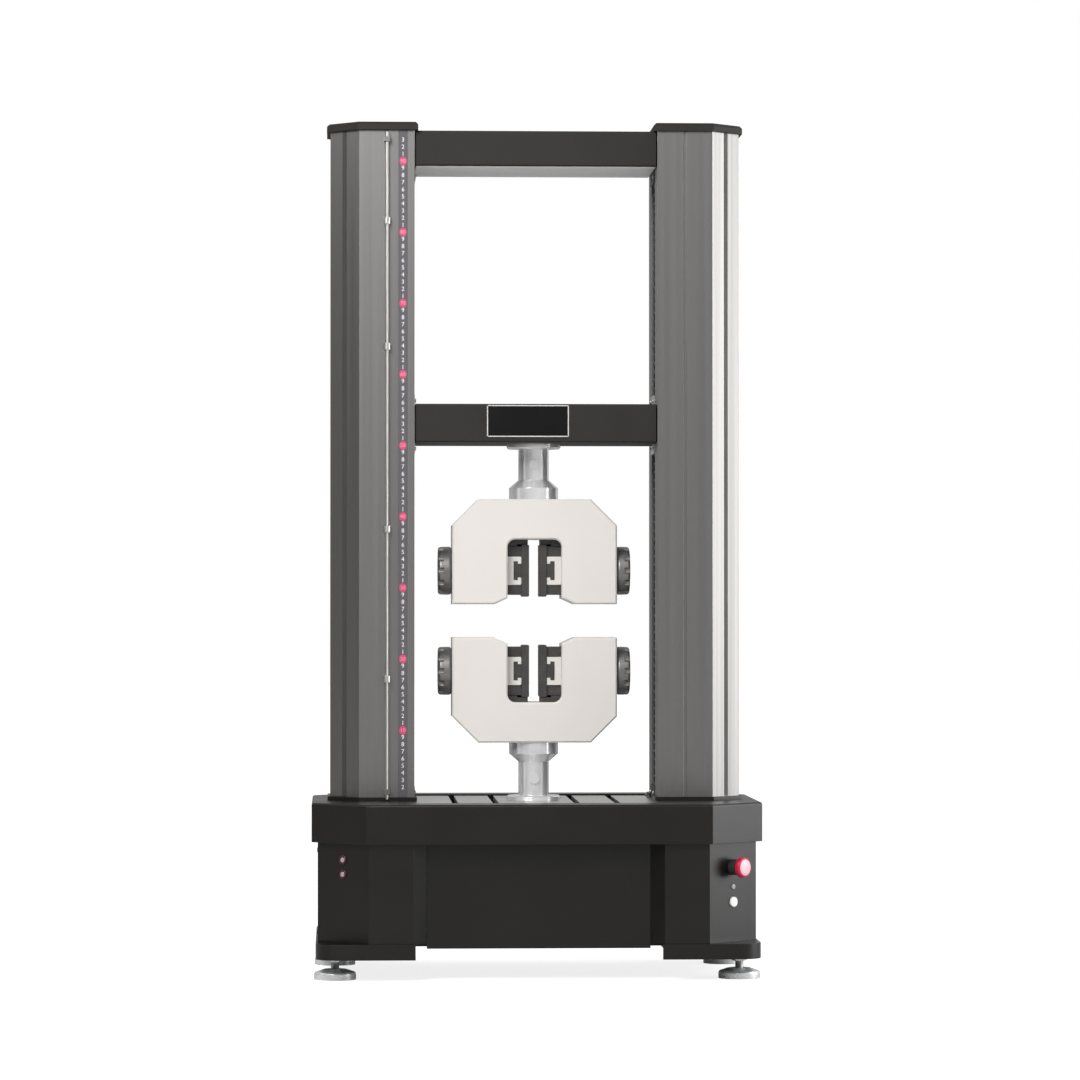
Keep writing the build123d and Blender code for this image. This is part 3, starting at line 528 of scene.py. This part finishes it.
panel_black = finish(
    "panel_black", (0.004, 0.004, 0.004), (0.006, 0.006, 0.006), 0.3, 0.36, bump=0.02, shine=0.2
)
bright_rim = finish("bright_rim", (0.62, 0.62, 0.62), (0.56, 0.56, 0.56), 0.4, 0.45)
plate_x, plate_half, plate_low, plate_high = -0.016, 0.081, 1.0625, 1.1255
plate_sunk, plate_thick, rim_proud, rim = 0.0002, 0.0016, 0.0006, 0.0022
cross_low, cross_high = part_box("crosshead")
plate_y = cross_low[1] + plate_sunk
plate_face = plate_y - plate_thick
rim_face = plate_face - rim_proud
left, right = plate_x - plate_half, plate_x + plate_half
block_piece(
    "crosshead_plate",
    [((left, plate_face, plate_low), (right, plate_y, plate_high))],
    fine_edge, panel_black, "crosshead",
)
block_piece(
    "crosshead_plate_rim",
    [
        ((left, rim_face, plate_low), (right, plate_y, plate_low + rim)),
        ((left, rim_face, plate_high - rim), (right, plate_y, plate_high)),
        ((left, rim_face, plate_low), (left + rim, plate_y, plate_high)),
        ((right - rim, rim_face, plate_low), (right, plate_y, plate_high)),
    ],
    fine_edge, bright_rim, "crosshead",
)

# Push buttons and lamps
# The mushroom button on its collar, the start button and the lamps, on the cut front corners.
# Glossy moulded plastic, with a black collar and dark red bezels.
# The pale pink disc on the mushroom face is a painted highlight.

red_gloss = finish("red_gloss", (0.55, 0.012, 0.05), (0.48, 0.01, 0.04), 0.18, 0.22, bump=0.02)
white_gloss = finish("white_gloss", (0.85, 0.85, 0.84), (0.8, 0.8, 0.79), 0.2, 0.25, bump=0.02)
clear_lens = finish("clear_lens", (0.38, 0.34, 0.34), (0.33, 0.29, 0.29), 0.12, 0.16, bump=0.02)
# A pale pink for the disc on the mushroom face: a painted highlight.
painted_highlight_pink = finish("painted_highlight_pink", (0.95, 0.6, 0.66), (0.92, 0.52, 0.6), 0.2, 0.26, bump=0.02)
dark_red = finish("dark_red_bezel", (0.06, 0.006, 0.012), (0.045, 0.005, 0.009), 0.3, 0.36, bump=0.02)
dress(red_gloss, "estop_button")
dress(black_plastic, "estop_base")
dress(white_gloss, "start_button")
dress(clear_lens, "lamps")


def turned_piece(name, outline, middle, facing, material, body):
    """A form turned about the axis facing, from pairs of radius and height above middle."""
    steps = 48
    form = bmesh.new()
    rows = []
    for radius, height in outline:
        angles = [2 * math.pi * i / steps for i in range(steps)] if radius else [0]
        rows.append([
            form.verts.new((radius * math.cos(angle), radius * math.sin(angle), height))
            for angle in angles
        ])
    for low, high in zip(rows, rows[1:]):
        for i in range(steps):
            j = (i + 1) % steps
            if len(low) == 1:
                form.faces.new((low[0], high[j], high[i]))
            elif len(high) == 1:
                form.faces.new((low[i], low[j], high[0]))
            else:
                form.faces.new((low[i], low[j], high[j], high[i]))
    turn = Vector(facing).to_track_quat("Z", "Y").to_matrix().to_4x4()
    form.transform(Matrix.Translation(middle) @ turn)
    bmesh.ops.recalc_face_normals(form, faces=form.faces)
    return solid_piece(name, form, material, body, smooth=True)


# The pale pink disc on the face of the mushroom button is a painted highlight, standing in for the shine
# on its dome.
highlight_outline = [
    (0, -0.001), (0.0155, -0.001), (0.0155, 0.0003), (0.0145, 0.0011), (0.008, 0.0019), (0, 0.0021),
]
bezel_outline = [
    (0.0052, 0), (0.0095, 0), (0.0095, 0.0012), (0.0085, 0.0022), (0.0062, 0.0026),
    (0.0052, 0.0018), (0.0052, 0),
]
right_out, left_out = Vector((1, -1, 0)).normalized(), Vector((-1, -1, 0)).normalized()
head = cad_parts["estop_button"]
head_front = max((head.matrix_world @ vert.co).dot(right_out) for vert in head.data.vertices)
head_low, head_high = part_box("estop_button")
head_middle = Vector([(a + b) / 2 for a, b in zip(head_low, head_high)])
highlight_middle = head_middle + right_out * (head_front - head_middle.dot(right_out))
turned_piece(
    "estop_painted_highlight", highlight_outline, highlight_middle, right_out, painted_highlight_pink, "estop_button"
)
lamp_x, lamp_y, lamp_heights = -0.3805, -0.2205, (0.235, 0.207)
for i, z in enumerate(lamp_heights):
    turned_piece(
        f"left_lamp_bezel_{i + 1}", bezel_outline, Vector((lamp_x, lamp_y, z)), left_out,
        dark_red, "machine_frame",
    )

# Mains inlet
# A flanged socket in the rear panel, with three blades inside.
# Black moulded plastic, with plated blades.

dress(black_plastic, "power_inlet")
blade_half_x, blade_half_z, blade_root, blade_tip = 0.001, 0.002, 0.019, 0.005
blade_places = ((-0.007, -0.002), (0, 0.003), (0.007, -0.002))
inlet_low, inlet_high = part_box("power_inlet")
inlet_x, inlet_z = (inlet_low[0] + inlet_high[0]) / 2, (inlet_low[2] + inlet_high[2]) / 2
blades = []
for across, up in blade_places:
    x, z = inlet_x + across, inlet_z + up
    blades.append((
        (x - blade_half_x, inlet_high[1] - blade_root, z - blade_half_z),
        (x + blade_half_x, inlet_high[1] - blade_tip, z + blade_half_z),
    ))
block_piece("inlet_blades", blades, fine_edge, plated, "machine_frame")

# Socket screws
# Cap screws hold the caps, the covers, the load cell, the clamps and the wheels.
# Plated or blackened steel, with a hexagon socket in each head.


def screw_tree():
    """Sets a socket-head screw on each point, facing one way."""
    head_sides, socket_sides = 24, 6
    tree = bpy.data.node_groups.new("socket_screws", "GeometryNodeTree")
    ports = tree.interface
    ports.new_socket("Geometry", in_out="INPUT", socket_type="NodeSocketGeometry")
    for label in ("Head radius", "Head height", "Socket radius"):
        ports.new_socket(label, in_out="INPUT", socket_type="NodeSocketFloat")
    ports.new_socket("Facing", in_out="INPUT", socket_type="NodeSocketVector")
    ports.new_socket("Finish", in_out="INPUT", socket_type="NodeSocketMaterial")
    ports.new_socket("Geometry", in_out="OUTPUT", socket_type="NodeSocketGeometry")
    given = put_node(tree, "NodeGroupInput", {}).outputs
    head = put_node(
        tree, "GeometryNodeMeshCylinder",
        {"Vertices": head_sides, "Radius": given["Head radius"], "Depth": given["Head height"]},
    )
    socket = put_node(
        tree, "GeometryNodeMeshCylinder",
        {"Vertices": socket_sides, "Radius": given["Socket radius"], "Depth": given["Head height"]},
    )
    half = put_node(tree, "ShaderNodeMath", {0: given["Head height"], 1: 0.5})
    half.operation = "MULTIPLY"
    rise = put_node(tree, "ShaderNodeCombineXYZ", {"Z": half.outputs["Value"]})
    lift = put_node(
        tree, "GeometryNodeTransform",
        {"Geometry": socket.outputs["Mesh"], "Translation": rise.outputs["Vector"]},
    )
    cut = put_node(
        tree, "GeometryNodeMeshBoolean",
        {"Mesh 1": head.outputs["Mesh"], "Mesh 2": lift.outputs["Geometry"]},
    )
    cut.operation = "DIFFERENCE"
    seat = put_node(
        tree, "GeometryNodeTransform",
        {"Geometry": cut.outputs["Mesh"], "Translation": rise.outputs["Vector"]},
    )
    aim = put_node(tree, "FunctionNodeAlignRotationToVector", {"Vector": given["Facing"]})
    aim.axis = "Z"
    spread = put_node(
        tree, "GeometryNodeInstanceOnPoints",
        {
            "Points": given["Geometry"], "Instance": seat.outputs["Geometry"],
            "Rotation": aim.outputs["Rotation"],
        },
    )
    real = put_node(tree, "GeometryNodeRealizeInstances", {"Geometry": spread.outputs["Instances"]})
    paint = put_node(
        tree, "GeometryNodeSetMaterial",
        {"Geometry": real.outputs["Geometry"], "Material": given["Finish"]},
    )
    put_node(tree, "NodeGroupOutput", {"Geometry": paint.outputs["Geometry"]})
    return tree


socket_screws = screw_tree()


def screws(name, places, facing, head, material, body):
    """Socket screws at places, whose head gives a radius and a height."""
    head_radius, head_height = head
    socket_share = 0.55
    mesh = bpy.data.meshes.new(name)
    mesh.from_pydata([tuple(place) for place in places], [], [])
    piece = bpy.data.objects.new(name, mesh)
    bpy.context.collection.objects.link(piece)
    maker = piece.modifiers.new("screws", "NODES")
    maker.node_group = socket_screws
    values = {
        "Head radius": head_radius, "Head height": head_height,
        "Socket radius": socket_share * head_radius, "Facing": facing, "Finish": material,
    }
    for item in socket_screws.interface.items_tree:
        if item.in_out == "INPUT" and item.name in values:
            maker[item.identifier] = values[item.name]
    view = bpy.context.evaluated_depsgraph_get()
    piece.data = bpy.data.meshes.new_from_object(piece.evaluated_get(view))
    piece.modifiers.clear()
    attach(piece, body)


cap_head, panel_head, side_head = (0.0065, 0.006), (0.0045, 0.003), (0.0045, 0.0012)
clamp_head, wheel_head = (0.0035, 0.0025), (0.0085, 0.004)
pocket_depth, wheel_dish = 0.0066, 0.005
cap_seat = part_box("column_caps")[1][2] - pocket_depth
cap_screw_x, cap_screw_y = (0.262, 0.349), (-0.098, 0.098)
cap_places = [
    (side * x, y, cap_seat) for side in (-1, 1) for x in cap_screw_x for y in cap_screw_y
]
screws("cap_screws", cap_places, (0, 0, 1), cap_head, satin_black, "machine_frame")
cell_circle, cell_count = 0.038, 8
cell_places = []
for i in range(cell_count):
    angle = math.radians(360 / cell_count * (i + 0.5))
    cell_places.append((
        cell_circle * math.cos(angle), cell_circle * math.sin(angle), cross_high[2] - pocket_depth,
    ))
screws("load_cell_screws", cell_places, (0, 0, 1), cap_head, plated, "crosshead")
rear_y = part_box("rear_panel")[1][1]
rear_screw_x, rear_screw_z = (-0.2, 0, 0.2), (0.075, 0.32)
rear_places = [(x, rear_y, z) for x in rear_screw_x for z in rear_screw_z]
screws(
    "rear_panel_screws", rear_places, (0, 1, 0), panel_head, satin_black, "machine_frame"
)
cover_x, clamp_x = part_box("right_pedestal_cover")[1][0], 0.238
cover_screw_y, cover_screw_z, clamp_screw_y = (-0.14, 0.14), (0.09, 0.25), (-0.035, 0.035)
fixed_low, fixed_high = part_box("fixed_clamps")
moving_low, moving_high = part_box("moving_clamps")
fixed_inset, moving_inset = 0.013, 0.01
clamp_rows = (
    ("fixed", (fixed_low[2] + fixed_inset, fixed_high[2] - fixed_inset), "machine_frame"),
    ("moving", (moving_low[2] + moving_inset, moving_high[2] - moving_inset), "crosshead"),
)
for side_name, side in sides:
    places = [(side * cover_x, y, z) for y in cover_screw_y for z in cover_screw_z]
    screws(
        f"{side_name}_cover_screws", places, (side, 0, 0), side_head,
        satin_black, "machine_frame",
    )
    for clamp, heights, body in clamp_rows:
        places = [(side * clamp_x, y, z) for y in clamp_screw_y for z in heights]
        screws(
            f"{side_name}_{clamp}_clamp_screws", places, (-side, 0, 0), clamp_head,
            plated, body,
        )
for level in levels:
    for side_name, side in sides:
        low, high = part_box(f"{level}_{side_name}_handwheel")
        hub = high[0] - wheel_dish if side > 0 else low[0] + wheel_dish
        screws(
            f"{level}_{side_name}_wheel_screw", [(hub, 0, (low[2] + high[2]) / 2)], (side, 0, 0),
            wheel_head, plated, f"{level}_{side_name}_wheel",
        )

# Studio
# A white floor that fades into the background, in a grey surround that is dimmer on the left.
# A soft key stands at the upper left, a small fill at the far left, and a tall panel on the
# right puts the pale reflection on the cut corners.

reach = 30
floor_mesh = bpy.data.meshes.new("studio_floor")
floor_mesh.from_pydata(
    [(-reach, -reach, 0), (reach, -reach, 0), (reach, reach, 0), (-reach, reach, 0)],
    [], [(0, 1, 2, 3)],
)
floor = bpy.data.objects.new("studio_floor", floor_mesh)
bpy.context.collection.objects.link(floor)
paper_grey, paper_rough, paper_glow = 0.55, 0.9, 0.82
paper = bpy.data.materials.new("studio_paper")
paper.use_nodes = True
paper_tree = paper.node_tree
paper_surface = paper_tree.nodes["Principled BSDF"]
paper_surface.inputs["Base Color"].default_value = (paper_grey, paper_grey, paper_grey, 1)
paper_surface.inputs["Roughness"].default_value = paper_rough
paper_surface.inputs["Emission Color"].default_value = (1, 1, 1, 1)
ray = put_node(paper_tree, "ShaderNodeLightPath", {})
glow = put_node(paper_tree, "ShaderNodeMath", {0: ray.outputs["Is Camera Ray"], 1: paper_glow})
glow.operation = "MULTIPLY"
paper_tree.links.new(glow.outputs["Value"], paper_surface.inputs["Emission Strength"])
floor_mesh.materials.append(paper)

dim_side, bright_side, dim_light, bright_light = -0.9, 0.5, 0.2, 0.6
world = bpy.data.worlds.new("studio_world")
bpy.context.scene.world = world
world.use_nodes = True
sky = world.node_tree
background = sky.nodes["Background"]
background.inputs["Color"].default_value = (1, 1, 1, 1)
ray = put_node(sky, "ShaderNodeLightPath", {})
way = put_node(sky, "ShaderNodeTexCoord", {})
split = put_node(sky, "ShaderNodeSeparateXYZ", {"Vector": way.outputs["Generated"]})
across = put_node(
    sky, "ShaderNodeMapRange",
    {
        "Value": split.outputs["X"], "From Min": dim_side, "From Max": bright_side,
        "To Min": dim_light, "To Max": bright_light,
    },
)
across.interpolation_type = "SMOOTHSTEP"
strength = put_node(
    sky, "ShaderNodeMapRange",
    {"Value": ray.outputs["Is Camera Ray"], "To Min": across.outputs["Result"], "To Max": 1},
)
sky.links.new(strength.outputs["Result"], background.inputs["Strength"])


def soft_panel(name, place, target, width, height, power):
    """A rectangular lamp at place, turned towards target."""
    light = bpy.data.lights.new(name, "AREA")
    light.shape = "RECTANGLE"
    light.size = width
    light.size_y = height
    light.energy = power
    lamp = bpy.data.objects.new(name, light)
    bpy.context.collection.objects.link(lamp)
    lamp.location = place
    lamp.rotation_euler = (Vector(target) - Vector(place)).to_track_quat("-Z", "Y").to_euler()


soft_panel(
    "key_panel", place=(-1.9, -3.6, 3.5), target=(0, 0, 1.3), width=2.3, height=2.3, power=205
)
soft_panel(
    "side_panel", place=(3.4, -0.4, 1.3), target=(0, -0.2, 1.0), width=2.2, height=2.6, power=74
)
soft_panel(
    "left_panel", place=(-3.6, -0.3, 2.9), target=(-0.35, 0, 1.5), width=1.6, height=1.1, power=16
)

eye_distance, eye_height, eye_yaw, lens, sensor = 9.0, 0.7405, math.radians(2.5), 150, 36
aim_point = Vector((0.013, 0, 0.8605))
camera_data = bpy.data.cameras.new("photo_camera")
camera_data.lens = lens
camera_data.sensor_width = sensor
camera = bpy.data.objects.new("photo_camera", camera_data)
bpy.context.collection.objects.link(camera)
camera.location = (-eye_distance * math.sin(eye_yaw), -eye_distance * math.cos(eye_yaw), eye_height)
camera.rotation_euler = (aim_point - camera.location).to_track_quat("-Z", "Y").to_euler()
bpy.context.scene.camera = camera
bpy.context.scene.view_settings.view_transform = "Standard"
